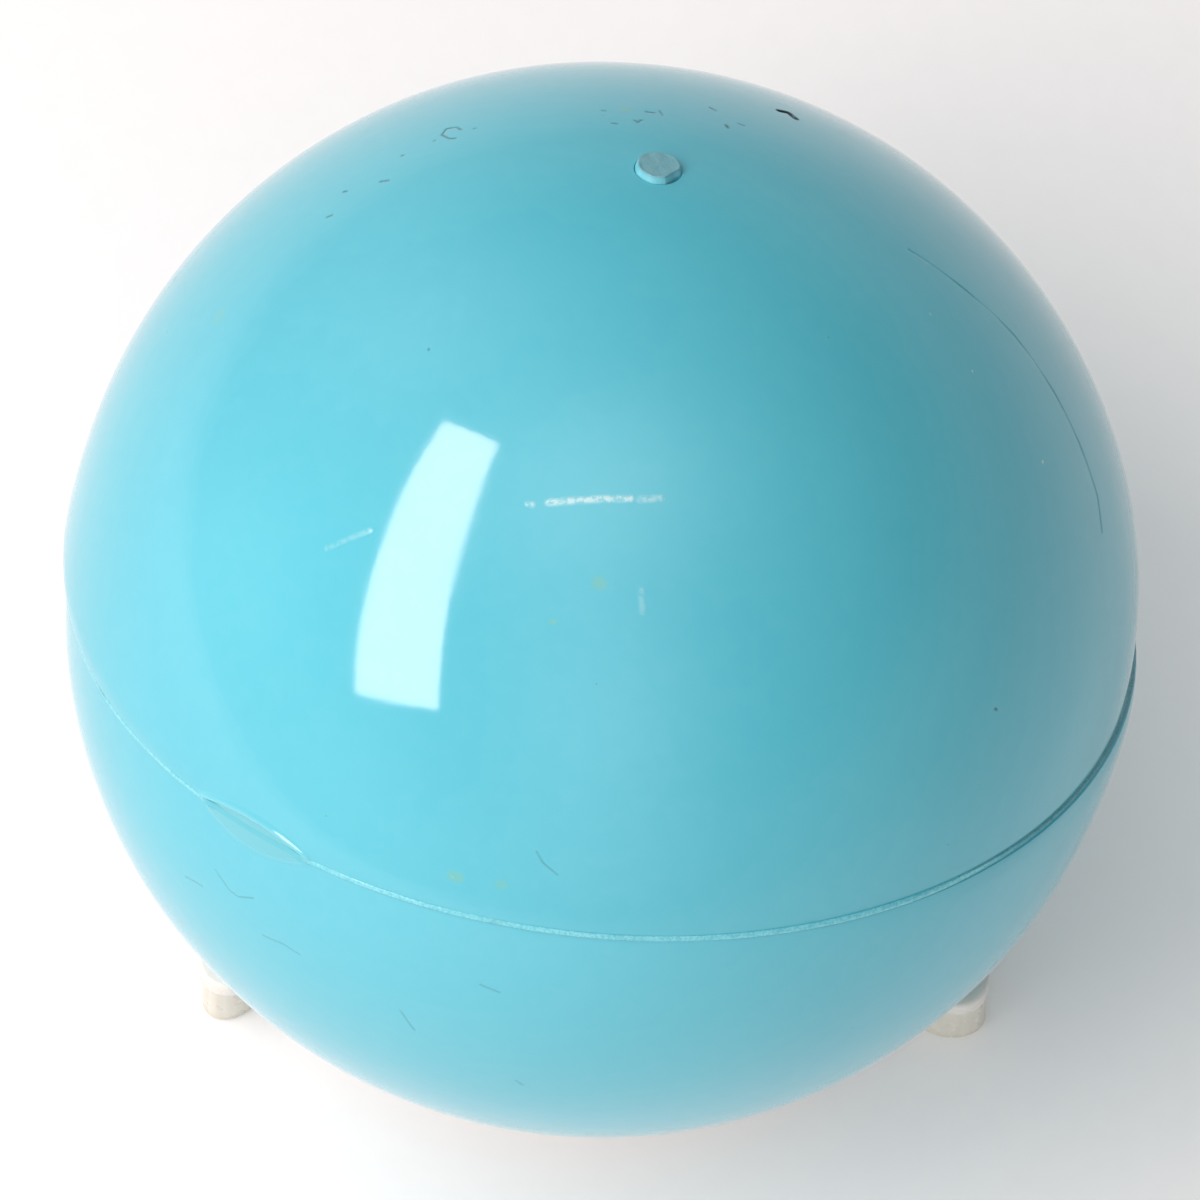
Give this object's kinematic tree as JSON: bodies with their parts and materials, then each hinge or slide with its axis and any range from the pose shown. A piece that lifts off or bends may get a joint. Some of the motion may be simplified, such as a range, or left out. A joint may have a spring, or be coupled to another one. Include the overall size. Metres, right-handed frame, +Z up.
{
  "type": "case opening friction ball",
  "caption": "Hollow soft rubber ball that grips and turns screw-down watch case backs, with a raised seam and a pole plug, resting loose on a three-footed plastic ring stand.",
  "frame": {"origin": "on the surface that the feet stand on, straight below the ball's centre", "axes": "+Z up; -Y towards the front, between the two front feet; +X to the right seen from the front"},
  "size_m": [0.0652, 0.0648, 0.0665],
  "materials": {
    "ball_rubber": "glossy soft rubber, turquoise all through, with fine scuffs and dust",
    "seam_rubber": "satin joint rubber, a little lighter than the ball",
    "plug_rubber": "satin cut rubber, a little greyer than the ball",
    "stand_plastic": "translucent off-white moulded plastic",
    "foot_plastic": "translucent cream moulded plastic with faint upright flow lines"
  },
  "bodies": {
    "stand": {"stand_ring": "stand_plastic", "front_left_foot": "foot_plastic", "front_right_foot": "foot_plastic", "rear_foot": "foot_plastic"},
    "plug": {"valve_plug": "plug_rubber"},
    "ball": {"ball_upper_half": "ball_rubber", "ball_lower_half": "ball_rubber", "seam_bead": "seam_rubber"}
  },
  "joints": [
    {"name": "ball_lift", "type": "slide", "parent": "stand", "child": "plug", "axis": [0, 0, 1], "range_m": [0, 0.08]},
    {"name": "ball_turn", "type": "hinge", "parent": "plug", "child": "ball", "pos_m": [0, 0, 0.034], "axis": [0.0867, 0.4677, 0.8796], "continuous": true}
  ]
}
